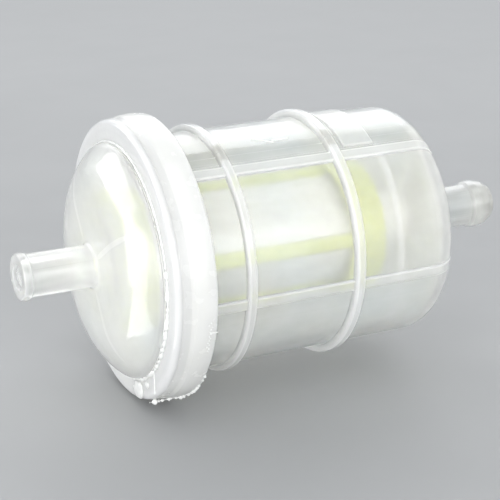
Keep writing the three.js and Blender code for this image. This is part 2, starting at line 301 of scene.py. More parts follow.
@dataclass(frozen=True)
class Strip:
    """A raised strip with drafted, rounded edges. Across it, distances are in millimetres."""
    middle: float                     # degrees around the axis, or x for a hoop
    half: float                       # half its width
    height: float
    kind: str = "rib"
    least_radius: float = 1.0         # nearer the axis, its sides run on as rays
    inside: bool = False
    draft: float = 0.1
    fillet: float = 0.12
    rounding: float = 0.2

    def edge(self):
        """(distance inwards from the edge, share of the height) where the edge bends.

        The last stop, just on the flat top, keeps the painted edge highlight from spreading over it.
        """
        corners = [
            (-1, 0, 0),
            (-self.draft / 2, 0, self.fillet),
            (self.draft / 2, self.height, self.rounding),
            (1, self.height, 0),
        ]
        points = rounded(corners, step=18)[1:-1]
        on_top = [points[-1, 0] + 0.2, self.height]
        points = np.append(points, [on_top], axis=0)
        return np.column_stack([points[:, 0], points[:, 1] / self.height])

    def share(self, distance):
        """The share of its height at a distance from its middle."""
        inwards, share = self.edge().T
        return np.interp(self.half - np.abs(distance), inwards, share)

    def stops(self):
        """The distances from its middle where its section bends."""
        inwards = self.edge()[:, 0]
        return np.concatenate([inwards - self.half, (self.half - inwards)[::-1]])


IDLE_RADIUS = 50.0                    # draws a strip's columns together where it isn't raised


class Columns:
    """Columns of a turned grid that run along the edges of its strips."""

    def __init__(self, strips, spacing=2.5):
        knots = []
        for strip in strips:
            for distance in strip.stops():
                angle = strip.middle + math.degrees(distance / IDLE_RADIUS)
                knots.append((angle % 360, strip, distance))
        knots.sort(key=lambda knot: knot[0])
        self.strips = [strip for _, strip, _ in knots]
        self.distances = np.array([distance for _, _, distance in knots])
        idle = np.array([angle for angle, _, _ in knots])
        gaps = np.diff(np.append(idle, idle[0] + 360))
        counts = np.maximum(1, np.round(gaps / spacing)).astype(int)
        self.places = np.concatenate([[0], np.cumsum(counts)])
        self.idle = self.filled(idle)

    def filled(self, knot_angles):
        """Every column's angle, from the angles of the columns along edges."""
        closed = np.append(knot_angles, knot_angles[0] + 360)
        return np.interp(np.arange(self.places[-1]), self.places, closed)

    def angles(self, radius, inner_share):
        """The columns' angles on a row of that radius. inner_share is 0 outside and 1 inside."""
        knots = []
        for strip, distance in zip(self.strips, self.distances):
            active = 1 / max(radius, strip.least_radius)
            own = inner_share if strip.inside else 1 - inner_share
            bend = own * active + (1 - own) / IDLE_RADIUS
            knots.append(strip.middle + math.degrees(distance * bend))
        knots = np.array(knots)
        knots += 360 * np.round((self.idle[self.places[:-1]] - knots) / 360)
        return self.filled(knots)

    def share(self, strip):
        """The share of a strip's height on every column."""
        apart = (self.idle - strip.middle + 180) % 360 - 180
        return strip.share(np.radians(apart) * IDLE_RADIUS)


STRIP_KINDS = ("rib", "pad", "fin")
ROW_FIELDS = ("x", "radius", "dx", "dr", "inner", "behind", "depth", "hoop", *STRIP_KINDS)
DEEP = 2.8                            # a strip of that height looks as thick as plastic gets
CLEAREST = -0.3                       # the depth at which plastic hides nothing
FIN_BEHIND = 0.2                      # how much a fin clouds the outer surface in front of it


def rows(points, direction=(0, 1), **values):
    """Rows of a shell's grid: where each is, which way it is raised, and by how much.

    inner is 1 on the inside, behind is 1 in front of fins on the inside, depth is how thick the
    plastic looks, hoop is a height, and each kind of strip has the share of its height.
    """
    table = {field: np.zeros(len(points)) for field in ROW_FIELDS}
    table["x"], table["radius"] = np.array(points).T
    table["dx"][:], table["dr"][:] = np.broadcast_to(direction, (len(points), 2)).T
    for field, value in values.items():
        table[field][:] = value
    return np.column_stack([table[field] for field in ROW_FIELDS])


def shell_object(name, stretches, strips):
    """A closed shell from stretches of rows, raised by strips."""
    columns = Columns(strips)
    shares = {}
    for strip in strips:
        raised = strip.height * columns.share(strip)
        shares[strip.kind] = np.maximum(shares.get(strip.kind, 0), raised)
    points = []
    depths = []
    inside = []
    for row in np.concatenate(stretches):
        x, radius, dx, dr, inner, behind, depth, hoop, *amounts = row
        height = np.full(len(columns.idle), hoop)
        for kind, amount in zip(STRIP_KINDS, amounts):
            height = np.maximum(height, amount * shares.get(kind, 0))
        angles = columns.angles(radius, max(inner, behind))
        points.append(around(x + dx * height, radius + dr * height, angles))
        thickness = height + FIN_BEHIND * behind * shares["fin"]
        depths.append(np.clip(depth + thickness / DEEP, CLEAREST, 1))
        inside.append(np.full(len(height), inner))
    return mesh_object(name, grid_mesh(np.array(points), depth=depths, inside=inside))


# ---- housing ----

CORNER_START_X = END_X - CORNER_RADIUS
CORNER_RADIAL = WALL_RADIUS - WALL_DRAFT - CORNER_RADIUS
RIB_START_X = RING_BACK_X + 0.3
RIB_RISE = 0.2                        # the length over which a long rib's end rises
INNER_END_X = END_X - END_WALL

HOOPS = (
    Strip(middle=-13.4, half=0.85, height=1.2, rounding=0.35),
    Strip(middle=8.15, half=0.9, height=1.5, rounding=0.35),
)
PAD_ALONG = Strip(middle=13.78, half=3.07, height=0.5, kind="pad")
PAD_AROUND = Strip(middle=90, half=math.radians(29) * WALL_RADIUS, height=0.5, kind="pad")


def wall_radius(x):
    """Outer radius of the housing's wall at x."""
    return WALL_RADIUS - WALL_DRAFT * (x - RING_BACK_X) / (CORNER_START_X - RING_BACK_X)


def outer_wall_rows():
    """The wall's outside, from the joint ring to the far corner."""
    stops = [RIB_START_X - RIB_RISE, RIB_START_X - RIB_RISE / 2, RIB_START_X, CORNER_START_X]
    for strip in (*HOOPS, PAD_ALONG):
        stops += list(strip.middle + strip.stops())
    line = spaced(np.array([[x, 0] for x in sorted(stops)]), 1.5)
    x = line[:, 0]
    hoop = np.max([strip.height * strip.share(x - strip.middle) for strip in HOOPS], axis=0)
    rib = np.clip((x - RIB_START_X + RIB_RISE) / RIB_RISE, 0, 1)
    pad = PAD_ALONG.share(x - PAD_ALONG.middle)
    return rows(np.column_stack([x, wall_radius(x)]), hoop=hoop, rib=rib, pad=pad)


def corner_rows():
    """The rounded corner between the wall and the end wall."""
    degrees = np.linspace(90, 180, 37)[1:]
    angle = np.radians(degrees)
    outwards = np.column_stack([-np.cos(angle), np.sin(angle)])
    points = [CORNER_START_X, CORNER_RADIAL] + CORNER_RADIUS * outwards
    rib = np.clip((LONG_RIB_TURN - degrees) / (LONG_RIB_TURN - 90), 0, 1)
    return rows(points, outwards, rib=rib, depth=np.interp(degrees, [90, 180], [0, 0.65]))


def outlet_rows():
    """The end wall's outside and the outlet nozzle, with its barb, to just inside the bore."""
    foot_x = OUTLET_TIP_X - BARB_LENGTH
    barb = OUTLET_RADIUS + BARB_HEIGHT
    outline = rounded([
        (END_X, CORNER_RADIAL - 0.5, 0),
        (END_X, OUTLET_RADIUS, 0.5),
        (foot_x, OUTLET_RADIUS, 0.3),
        (foot_x + 0.6, barb - 0.15, 0.3),
        (foot_x + 1.9, barb, 0.8),
        (foot_x + 3.6, barb - 0.3, 1.5),
        (OUTLET_TIP_X, OUTLET_RADIUS - 0.6, 0.35),
        (OUTLET_TIP_X, BORE_RADIUS, 0.2),
        (OUTLET_TIP_X - 1, BORE_RADIUS, 0),
    ])
    outline = spaced(outline, 1.5)
    depth = np.interp(outline[:, 0], [END_X, END_X + 3], [0.5, 0.1])
    return rows(outline, depth=depth)


def hub_rows():
    """The bore, and the hub tube that the cage plugs on."""
    bore = spaced(np.array([(OUTLET_TIP_X - 2, BORE_RADIUS), (HUB_START_X + 1, BORE_RADIUS)]), 2)
    tip = rounded([
        (HUB_START_X + 0.5, BORE_RADIUS, 0),
        (HUB_START_X, BORE_RADIUS, 0.15),
        (HUB_START_X, HUB_RADIUS, 0.3),
        (HUB_START_X + 0.6, HUB_RADIUS, 0),
    ])
    side = spaced(np.array([(HUB_START_X + 1, HUB_RADIUS), (INNER_END_X - 0.3, HUB_RADIUS)]), 1)
    side_fin = np.clip((side[:, 0] - INNER_END_X + FIN_FOOT) / FIN_FOOT, 0, 1)
    return [
        rows(bore, inner=np.linspace(0, 1, len(bore)), depth=0.3),
        rows(tip, inner=1, depth=1),
        rows(side, direction=(-1, 0), inner=1, depth=1, fin=side_fin),
    ]


def inner_end_rows():
    """The end wall's inside, whose ribs slope down and stop short of the corner, and the corner."""
    corner = CORNER_RADIUS - WALL
    fillet = rounded([
        (INNER_END_X - 0.4, HUB_RADIUS, 0),
        (INNER_END_X, HUB_RADIUS, 0.3),
        (INNER_END_X, 6, 0),
    ])[1:]
    stops = np.concatenate([
        np.linspace(6.5, END_RIB_OUTER - 0.15, 8),
        [END_RIB_OUTER - 0.08, END_RIB_OUTER, END_RIB_OUTER + 0.06],
        np.linspace(END_RIB_OUTER + 0.15, CORNER_RADIAL - 0.1, 3),
    ])
    plate = np.column_stack([np.full(len(stops), INNER_END_X), stops])
    points = np.concatenate([fillet, plate])
    height = np.interp(points[:, 1], [6.2, END_RIB_OUTER], [1, 0.28])
    height *= np.interp(points[:, 1], [END_RIB_OUTER - 0.1, END_RIB_OUTER + 0.05], [1, 0])
    bend = arc(INNER_END_X - corner, CORNER_RADIAL, corner, 180, 90)
    return [
        rows(points, direction=(-1, 0), inner=1, depth=0.35, fin=height),
        rows(bend, inner=1, depth=0.2),
    ]


def inner_wall_rows():
    """The wall's inside, with one low step."""
    step = Strip(middle=17.8, half=0.7, height=0.6)
    stops = np.concatenate([[MOUTH_X + 0.5, CORNER_START_X - 0.5], step.middle + step.stops()])
    line = spaced(np.array([[x, 0] for x in sorted(stops)]), 2)
    x = line[::-1, 0]
    raised = step.share(x - step.middle)
    radius = wall_radius(x) - WALL - step.height * raised
    return rows(np.column_stack([x, radius]), inner=1, depth=0.5 * raised)


def mouth_rows():
    """The mouth, and the flange around it that the joint ring grips."""
    outline = rounded([
        (MOUTH_X + 0.3, WALL_RADIUS - WALL, 0),
        (MOUTH_X, WALL_RADIUS - WALL, 0.15),
        (MOUTH_X, MOUTH_FLANGE_RADIUS, 0.2),
        (MOUTH_FLANGE_BACK_X, MOUTH_FLANGE_RADIUS, 0.2),
        (MOUTH_FLANGE_BACK_X, WALL_RADIUS, 0.3),
        (RIB_START_X - 0.4, WALL_RADIUS, 0),
    ])
    return rows(spaced(outline, 1), inner=0.5)


def housing_shell():
    """The bowl with its ribs, hoops, pad, hub and outlet nozzle, as one closed mesh."""
    ribs = [
        Strip(middle=angle, half=1.0, height=0.6, least_radius=17)
        for angle in LONG_RIB_ANGLES
    ]
    end_ribs = [
        Strip(angle, half=0.5, height=1.4, kind="fin", inside=True, least_radius=5.2, rounding=0.15)
        for angle in END_RIB_ANGLES
    ]
    stretches = [
        outer_wall_rows(), corner_rows(), outlet_rows(), *hub_rows(),
        *inner_end_rows(), inner_wall_rows(), mouth_rows(),
    ]
    return shell_object("housing_shell", stretches, [*ribs, PAD_AROUND, *end_ribs])


# ---- domed cap ----

CROWN_CENTRE_X = FACE_X + CROWN_RADIUS
SHOULDER_REACH = CROWN_RADIUS - SHOULDER_RADIUS
SHOULDER_X = CROWN_CENTRE_X - SHOULDER_REACH * math.cos(math.radians(CROWN_SWEEP))
SHOULDER_RADIAL = CROWN_START + SHOULDER_REACH * math.sin(math.radians(CROWN_SWEEP))
GROOVE_RADIUS = SHOULDER_RADIAL + SHOULDER_RADIUS
INNER_FACE_X = FACE_X + CAP_WALL
FIN_HEIGHT = FIN_TOP_X - INNER_FACE_X
FIN_FADE = (16, 19.5)                 # the radii between which fins stop showing through the dome
SPIGOT_RADIUS = WALL_RADIUS - WALL - 0.4
SPIGOT_WALL = 1.6
CAP_DEPTH = 0.32                      # the cap is cloudier than the housing
FACE_DEPTH = 0.5                      # and its flat face is cloudier still
BORE_DEPTH = -0.25


def fins_behind(radius):
    """The share of the fins that lies behind the cap's outer surface at that radius."""
    return np.interp(radius, [FIN_INNER_RADIUS, FIN_INNER_RADIUS + 0.5, *FIN_FADE], [0, 1, 1, 0])


def inlet_rows():
    """The inlet nozzle's outside, with its tip bead, and the cap's flat face around it."""
    lip = INLET_RADIUS + INLET_LIP
    lip_end = INLET_TIP_X + INLET_LIP_LENGTH
    nozzle = spaced(rounded([
        (INLET_TIP_X + 1, BORE_RADIUS, 0),
        (INLET_TIP_X, BORE_RADIUS, 0.2),
        (INLET_TIP_X, lip - 0.2, 0.3),
        (INLET_TIP_X + 0.9, lip, 0.4),
        (lip_end, lip, 0.2),
        (lip_end + 0.4, INLET_RADIUS, 0.3),
        (FACE_X, INLET_RADIUS, 0.6),
        (FACE_X, CROWN_START - 0.5, 0),
    ]), 1.5)
    x, radius = nozzle.T
    depth = np.interp(x, [INLET_TIP_X, FACE_X - 5, FACE_X - 0.5], [-0.1, 0.15, 0.6])
    depth[radius < BORE_RADIUS + 0.1] = BORE_DEPTH
    depth[radius > INLET_RADIUS + 1.5] = FACE_DEPTH
    return rows(nozzle, depth=depth, behind=fins_behind(radius))


def dome_rows():
    """The dome's outside: the large crown, then the tight shoulder down to the groove."""
    crown = arc(CROWN_CENTRE_X, CROWN_START, CROWN_RADIUS, 0, CROWN_SWEEP, 2)
    shoulder = arc(SHOULDER_X, SHOULDER_RADIAL, SHOULDER_RADIUS, CROWN_SWEEP, SHOULDER_SWEEP, 6)
    dome = spaced(np.concatenate([crown, shoulder[1:]]), 1.2)
    radius = dome[:, 1]
    depth = np.interp(radius, [CROWN_START, 17], [FACE_DEPTH, CAP_DEPTH])
    return rows(dome, depth=depth, behind=fins_behind(radius))


def flange_rows():
    """The flange, and the spigot that goes into the housing."""
    flange = rounded([
        (FLANGE_FRONT_X - 0.6, GROOVE_RADIUS, 0),
        (FLANGE_FRONT_X, GROOVE_RADIUS, 0.5),
        (FLANGE_FRONT_X, FLANGE_RADIUS, 1.0),
        (FLANGE_BACK_X, FLANGE_RADIUS, 0.15),
        (FLANGE_BACK_X, SPIGOT_RADIUS, 0.2),
        (SPIGOT_END_X, SPIGOT_RADIUS, 0.3),
        (SPIGOT_END_X, SPIGOT_RADIUS - SPIGOT_WALL, 0.3),
        (FLANGE_BACK_X + 0.2, SPIGOT_RADIUS - SPIGOT_WALL, 0),
    ])
    return rows(spaced(flange, 1.2), depth=0.9)


def dome_inside_rows():
    """The dome's inside, with fins that all end in one plane, and stop short of the bore."""
    inner = arc(CROWN_CENTRE_X, CROWN_START, CROWN_RADIUS - CAP_WALL, CROWN_SWEEP, 0, 2.5)
    stops = np.concatenate([
        np.linspace(CROWN_START - 0.5, FIN_INNER_RADIUS + 0.3, 6),
        FIN_INNER_RADIUS + np.array([0.15, 0.06, 0, -0.05, -0.15]),
        np.linspace(FIN_INNER_RADIUS - 0.5, BORE_RADIUS + 0.5, 3),
    ])
    plate = np.column_stack([np.full(len(stops), INNER_FACE_X), stops])
    lined = np.concatenate([inner, plate])
    x, radius = lined.T
    height = np.clip(FIN_TOP_X - x, 0, None)
    height *= np.interp(radius, FIN_INNER_RADIUS + np.array([-0.1, 0.08]), [0, 1])
    return rows(lined, direction=(1, 0), inner=1, depth=CAP_DEPTH, fin=height / FIN_HEIGHT)


def inlet_bore_rows():
    """The bore, from the dome's inside to the nozzle's tip."""
    bore = rounded([
        (INNER_FACE_X, BORE_RADIUS + 0.4, 0),
        (INNER_FACE_X, BORE_RADIUS, 0.3),
        (INLET_TIP_X + 1.5, BORE_RADIUS, 0),
    ])
    return rows(spaced(bore, 1.5), inner=1, depth=BORE_DEPTH)


def cap_shell():
    """The domed cap with its inlet nozzle, flange, spigot and fins, as one closed mesh."""
    fins = [
        Strip(angle, half=0.5, height=FIN_HEIGHT, kind="fin", inside=True, least_radius=5, rounding=0.15)
        for angle in FIN_ANGLES
    ]
    stretches = [inlet_rows(), dome_rows(), flange_rows(), dome_inside_rows(), inlet_bore_rows()]
    return shell_object("cap_shell", stretches, fins)


# ---- joint ring ----

RING_WAVE_HEIGHT = 0.06
RING_WAVE_LENGTH = 5.0
SKIN_THICKNESS = 0.07
GROOVE_THREAD_RADIUS = 21.9                   # of the threads in the groove between the dome and the flange: flash below, painted light above


def joint_ring_outline():
    """A channel around the housing's mouth, with a skin of the weld over the flange's side."""
    skin_x = FLANGE_FRONT_X + 0.8
    skin_radius = FLANGE_RADIUS + SKIN_THICKNESS
    seam_x = FLANGE_BACK_X + 0.02
    edge = RING_CROWN_RADIUS - 0.2
    gap = 0.15
    return rounded([
        (seam_x, SPIGOT_RADIUS + 0.5, 0.1),
        (seam_x, FLANGE_RADIUS - 0.5, 0),
        (skin_x, FLANGE_RADIUS - 0.2, 0),
        (skin_x + 0.4, skin_radius, 0.3),
        (FLANGE_BACK_X, skin_radius, 0.8),
        (FLANGE_BACK_X + 0.8, edge, 0.8),
        ((RING_FRONT_X + RING_BACK_X) / 2, RING_CROWN_RADIUS, 6),
        (RING_BACK_X, edge - 0.1, 0.7),
        (RING_BACK_X, WALL_RADIUS + gap, 0.1),
        (MOUTH_FLANGE_BACK_X + gap, WALL_RADIUS + gap, 0.1),
        (MOUTH_FLANGE_BACK_X + gap, MOUTH_FLANGE_RADIUS + gap, 0.1),
        (MOUTH_X - gap, MOUTH_FLANGE_RADIUS + gap, 0.1),
        (MOUTH_X - gap, SPIGOT_RADIUS + 0.5, 0.1),
    ], closed=True)


def uneven(places, patch, seed):
    """Smooth noise from -1 to 1 with patches of that many millimetres."""
    flat = places.reshape(-1, 3) / patch + seed
    return np.array([noise.noise(Vector(place)) for place in flat]).reshape(places.shape[:-1])


def joint_ring_piece():
    """The ring, with the slight waviness of a part moulded over another."""
    outline = joint_ring_outline()
    outline = spaced(np.append(outline, outline[:1], 0), 0.8)[:-1]
    points = around(outline[:, :1], outline[:, 1:], np.arange(360))
    outside = np.clip(outline[:, 1] - MOUTH_FLANGE_RADIUS, 0, 1)[:, None, None]
    wave = RING_WAVE_HEIGHT * outside * uneven(points, RING_WAVE_LENGTH, seed=3.0)[..., None]
    points[..., 1:] *= 1 + wave / RING_CROWN_RADIUS
    return mesh_object("joint_ring_bead", grid_mesh(points))


BEAD_PATCH = 0.8                      # size of a bead's lumps, as a share of its own radius
BEAD_LUMPINESS = 0.5
THREAD_PATCH = 0.7                    # length of a thread's thick and thin stretches
THREAD_LEAST = 0.05


def bead(x, radius, degrees, sizes, seed):
    """A lump of plastic on a turned surface. sizes are along the axis, outwards and around it."""
    rise = np.radians(np.linspace(-90, 90, 13))[:, None]
    turn = np.radians(np.arange(0, 360, 18))[None, :]
    lump = np.stack([
        np.cos(rise) * np.cos(turn), np.cos(rise) * np.sin(turn), np.sin(rise) + 0 * turn,
    ], axis=-1)
    lump *= 1 + BEAD_LUMPINESS * uneven(lump, BEAD_PATCH, seed)[..., None]
    lump *= np.array(sizes) / 2
    swing = np.degrees(lump[..., 2] / radius)
    return grid_mesh(around(x + lump[..., 0], radius + lump[..., 1], degrees + swing), close_rows=False)


def thread(x, radius, degrees, thick, rough, seed, face_on=False):
    """A thread of plastic laid along places on a turned surface, or on a flat face if face_on.

    thick is the middle of its radius, and rough is how far that goes up and down.
    """
    path = around(x, radius, degrees)
    along = unit(np.gradient(path, axis=0))
    outwards = unit(path * (0, 1, 1))
    if face_on:
        outwards = np.broadcast_to([-1.0, 0.0, 0.0], path.shape)
    sideways = np.cross(along, outwards)
    size = np.clip(thick + rough * uneven(path, THREAD_PATCH, seed), THREAD_LEAST, None)
    size[[0, -1]] = 0
    turn = np.radians(np.arange(0, 360, 30))[:, None]
    section = np.cos(turn) * sideways[:, None] + np.sin(turn) * outwards[:, None]
    return grid_mesh(path[:, None] + size[:, None, None] * section, close_rows=False)


def groove_threads():
    """Threads in the groove around the dome: a thin, even white one along the top as painted light that
    lifts the groove's shade, and thick, ragged flash below.
    """
    x = FLANGE_FRONT_X - 0.1
    upper = np.arange(200, 13, -1.5)
    lower = np.arange(14, -76, -0.8)
    return [
        # Painted light: a white thread laid along the top of the groove to lighten its shade.
        thread(x, GROOVE_THREAD_RADIUS, upper, thick=0.2, rough=0.1, seed=5.0),
        thread(x, GROOVE_THREAD_RADIUS, lower, thick=0.25, rough=0.4, seed=5.0),
        thread(x - 0.2, GROOVE_THREAD_RADIUS - 0.3, lower[30:-12], thick=0.1, rough=0.45, seed=8.0),
    ]


def ring_threads():
    """Burrs across and along the ring's underside."""
    across_ring = np.arange(FLANGE_FRONT_X + 0.6, RING_BACK_X - 0.4, 0.12)
    underside = np.arange(-68, -36, 0.35)
    back_edge = (RING_BACK_X - 0.35, RING_CROWN_RADIUS - 0.2)
    return [
        thread(across_ring, RING_CROWN_RADIUS, -63, thick=0.15, rough=0.7, seed=2.0),
        thread(across_ring, RING_CROWN_RADIUS, -66, thick=0.15, rough=0.6, seed=4.0),
        thread(*back_edge, underside, thick=0.1, rough=0.6, seed=1.5),
    ]


def flange_drips():
    """Two flat drips and a thread on the front of the cap's flange, near its lowest point."""
    share = np.linspace(0, 1, 20)
    radius = 22.2 + 3.3 * share
    degrees = -48 - 6 * share
    return [
        thread(FLANGE_FRONT_X, radius, degrees, thick=0.16, rough=0.08, seed=1.0, face_on=True),
        bead(FLANGE_FRONT_X, 24.0, -72, sizes=(0.9, 3.2, 4.8), seed=6.0),
        bead(FLANGE_FRONT_X, 23.2, -60, sizes=(0.5, 1.2, 1.6), seed=7.0),
    ]


def ring_specks():
    """Specks near the ring's back edge: one larger, and a line of tiny ones around its front."""
    specks = [
        bead(RING_BACK_X - 0.9, RING_CROWN_RADIUS, -12.5, sizes=(1.5, 0.2, 0.3), seed=9.0),
    ]
    for index in range(14):
        x = RING_BACK_X - 1.5 + 0.8 * noise.noise(Vector((index * 1.7, 0, 0)))
        sizes = (0.35, 0.14, 0.3)
        specks.append(bead(x, RING_CROWN_RADIUS, -8 - index, sizes, seed=index * 2.3))
    return specks


def weld_marks_and_shade_fill_piece():
    """Flash, drips and specks that the weld left around the joint, and a white thread that lightens the
    groove's shade as painted light.
    """
    marks = [*groove_threads(), *ring_threads(), *flange_drips(), *ring_specks()]
    return mesh_object("weld_marks_and_shade_fill", *marks)


def scuffs_piece():
    """Two short scuffs on the housing between its hoops."""
    share = np.linspace(0, 1, 24)
    radius = WALL_RADIUS - 0.06
    return mesh_object(
        "housing_scuffs",
        thread(-5.5 + 3.8 * share, radius, 76.5 - 5 * share, thick=0.09, rough=0.04, seed=3.0),
        thread(-1.9 + 3.4 * share, radius, 73.0, thick=0.10, rough=0.03, seed=6.0),
    )


# ---- filter element ----

ELEMENT_RIM = 0.9                     # thickness of the rims of the cage's two ends
PALE_RADII = (9, 12)                  # the closed end is paler inside the first, yellow from the second
BAR_WIDTH = 2.6
BAR_THICKNESS = 1.7
BAR_OUTER_RADIUS = 12.1
MESH_HALF_WIDTH = 7.0                 # its edges are tucked under the bars
MESH_EDGE_RADIUS = 8.2                # distance from the axis to the line between its edges
MESH_BULGE = 1.2                      # how far its middle stands out from that line
MESH_THICKNESS = 0.35
MESH_RIPPLE = 0.1


def outlet_ring_piece():
    """The cage's open end, with the socket that plugs on the hub."""
    low, high = extent("element_outlet_ring")
    radius = turned_radius("element_outlet_ring")
    rim = radius - ELEMENT_RIM
    plate_x = high[0] - 2
    socket = HUB_RADIUS + 0.25
    outline = rounded([
        (low[0], rim, 0.2),
        (low[0], radius, 0.25),
        (high[0], radius, 0.5),
        (high[0], socket, 0.3),
        (low[0] + 1.3, socket, 0.2),
        (low[0] + 1.3, socket + 1.1, 0.2),
        (plate_x, socket + 1.1, 0.3),
        (plate_x, rim, 0.3),
    ], closed=True)
    return turned("outlet_end_ring", spaced(np.append(outline, outline[:1], 0), 1.2)[:-1])


def inlet_disc_piece():
    """The cage's closed end."""
    low, high = extent("element_inlet_disc")
    radius = turned_radius("element_inlet_disc")
    rim = radius - ELEMENT_RIM
    outline = rounded([
        (low[0], 0, 0),
        (low[0], radius, 0.6),
        (high[0], radius, 0.25),
        (high[0], rim, 0.2),
        (low[0] + 1.4, rim, 0.3),
        (low[0] + 1.4, 0, 0),
    ])
    outline = spaced(outline, 1.2)
    pale = np.interp(outline[:, 1], PALE_RADII, [0.7, 0])
    return turned("inlet_end_disc", outline, close_rows=False, pale=pale)


def angle_of(node):
    """Where a CAD node stands around the X axis, in radians."""
    low, high = extent(node)
    middle = (low + high) / 2
    return math.atan2(middle[2], -middle[1])


def swept(name, section, centre, stops, angle, ripple=None):
    """A closed bar along X, whose section of (across, radial) points stands at that angle.

    ripple gives how far each point of a section moves outwards at x.
    """
    points = []
    for x, share in [(stops[0], 0), *((x, 1) for x in stops), (stops[-1], 0)]:
        across, radial = (centre + (section - centre) * share).T
        if ripple is not None:
            radial = radial + share * ripple(x, across)
        y = -radial * math.cos(angle) - across * math.sin(angle)
        z = radial * math.sin(angle) - across * math.cos(angle)
        points.append(np.column_stack([np.full(len(y), x), y, z]))
    return mesh_object(name, grid_mesh(np.array(points), close_rows=False))


def cage_bar_piece(number, node):
    """One of the bars that join the cage's two ends."""
    low, high = extent(node)
    half = BAR_WIDTH / 2
    inner_radius = BAR_OUTER_RADIUS - BAR_THICKNESS
    section = rounded([
        (-half, inner_radius, 0.2),
        (-half, BAR_OUTER_RADIUS, 0.55),
        (half, BAR_OUTER_RADIUS, 0.55),
        (half, inner_radius, 0.2),
    ], closed=True)
    centre = np.array([0, (inner_radius + BAR_OUTER_RADIUS) / 2])
    stops = np.linspace(low[0] - 0.5, high[0] + 0.5, 24)
    return swept(f"cage_bar_{number}", section, centre, stops, angle_of(node))


def mesh_panel_piece(number, node):
    """One side of the mesh, bulged outwards and slightly rippled along its threads."""
    low, high = extent(node)
    across = np.linspace(-MESH_HALF_WIDTH, MESH_HALF_WIDTH, 61)
    outside = MESH_EDGE_RADIUS + MESH_BULGE * (1 - (across / MESH_HALF_WIDTH) ** 2)
    section = np.concatenate([
        np.column_stack([across, outside]),
        np.column_stack([across, outside - MESH_THICKNESS])[::-1],
    ])

    def ripple(x, places):
        waves = [noise.noise(Vector((x / 25, place / 1.1, number * 9.0))) for place in places]
        return MESH_RIPPLE * np.array(waves)

    stops = np.linspace(low[0], high[0], 90)
    centre = section.mean(axis=0)
    return swept(f"mesh_panel_{number}", section, centre, stops, angle_of(node), ripple)


# ---- materials ----

PLASTIC_IOR = 1.49
SCATTER = 0.003                       # metres that light travels inside milky plastic


class Surface:
    """A Principled material whose varied inputs come from noise on the object's own coordinates."""

    def __init__(self, name, **values):
        self.material = bpy.data.materials.new(name)
        self.material.use_nodes = True
        self.nodes = self.material.node_tree.nodes
        self.shader = self.nodes["Principled BSDF"]
        for socket, value in values.items():
            self.shader.inputs[socket.replace("_", " ")].default_value = value
        self.place = self.nodes.new("ShaderNodeTexCoord").outputs["Object"]

    def link(self, source, target):
        """Joins an output to an input."""
        self.material.node_tree.links.new(source, target)

    def noise(self, scale, detail=3, stretch=(1, 1, 1)):
        """Noise with about scale patches to the metre, longer along an axis whose stretch is low."""
        mapping = self.nodes.new("ShaderNodeMapping")
        mapping.inputs["Scale"].default_value = stretch
        self.link(self.place, mapping.inputs["Vector"])
        texture = self.nodes.new("ShaderNodeTexNoise")
        texture.inputs["Scale"].default_value = scale
        texture.inputs["Detail"].default_value = detail
        self.link(mapping.outputs["Vector"], texture.inputs["Vector"])
        return texture.outputs["Fac"]

    def between(self, factor, low, high):
        """A number from low to high as factor goes over the middle of its range."""
        remap = self.nodes.new("ShaderNodeMapRange")
        remap.inputs["From Min"].default_value = 0.3
        remap.inputs["From Max"].default_value = 0.7
        remap.inputs["To Min"].default_value = low
        remap.inputs["To Max"].default_value = high
        self.link(factor, remap.inputs["Value"])
        return remap.outputs["Result"]

    def colours(self, factor, first, second):
        """A colour between first and second."""
        mix = self.nodes.new("ShaderNodeMix")
        mix.data_type = "RGBA"
        mix.inputs["A"].default_value = (*first, 1)
        mix.inputs["B"].default_value = (*second, 1)
        self.link(self.between(factor, 0, 1), mix.inputs["Factor"])
        return mix.outputs["Result"]

    def blended(self, factor, source, colour):
        """The source's colour, or the given one where factor is 1."""
        mix = self.nodes.new("ShaderNodeMix")
        mix.data_type = "RGBA"
        self.link(source, mix.inputs["A"])
        mix.inputs["B"].default_value = (*colour, 1)
        self.link(factor, mix.inputs["Factor"])
        return mix.outputs["Result"]

    def attribute(self, name):
        """A number that the mesh holds at each point."""
        node = self.nodes.new("ShaderNodeAttribute")
        node.attribute_name = name
        return node.outputs["Fac"]

    def facing(self, blend):
        """0 where the surface faces the viewer, and 1 where it is seen edge on."""
        node = self.nodes.new("ShaderNodeLayerWeight")
        node.inputs["Blend"].default_value = blend
        return node.outputs["Facing"]

    def scaled(self, factor, amount, base):
        """base + factor * amount."""
        node = self.nodes.new("ShaderNodeMath")
        node.operation = "MULTIPLY_ADD"
        self.link(factor, node.inputs[0])
        node.inputs[1].default_value = amount
        if isinstance(base, float):
            node.inputs[2].default_value = base
        else:
            self.link(base, node.inputs[2])
        node.use_clamp = True
        return node.outputs["Value"]

    def bump(self, height, distance, strength, under=None):
        """A normal raised by height, over an earlier bump."""
        node = self.nodes.new("ShaderNodeBump")
        node.inputs["Distance"].default_value = distance
        node.inputs["Strength"].default_value = strength
        self.link(height, node.inputs["Height"])
        if under is not None:
            self.link(under, node.inputs["Normal"])
        return node.outputs["Normal"]

    def set(self, socket, source):
        """Feeds one of the shader's inputs."""
        self.link(source, self.shader.inputs[socket])

    def let_lamps_through(self, tint):
        """Lets the lamps light what is inside, as a thin scattering wall does."""
        path = self.nodes.new("ShaderNodeLightPath")
        clear = self.nodes.new("ShaderNodeBsdfTransparent")
        clear.inputs["Color"].default_value = (*tint, 1)
        mix = self.nodes.new("ShaderNodeMixShader")
        self.link(path.outputs["Is Shadow Ray"], mix.inputs["Fac"])
        self.link(self.shader.outputs["BSDF"], mix.inputs[1])
        self.link(clear.outputs["BSDF"], mix.inputs[2])
        self.link(mix.outputs["Shader"], self.nodes["Material Output"].inputs["Surface"])


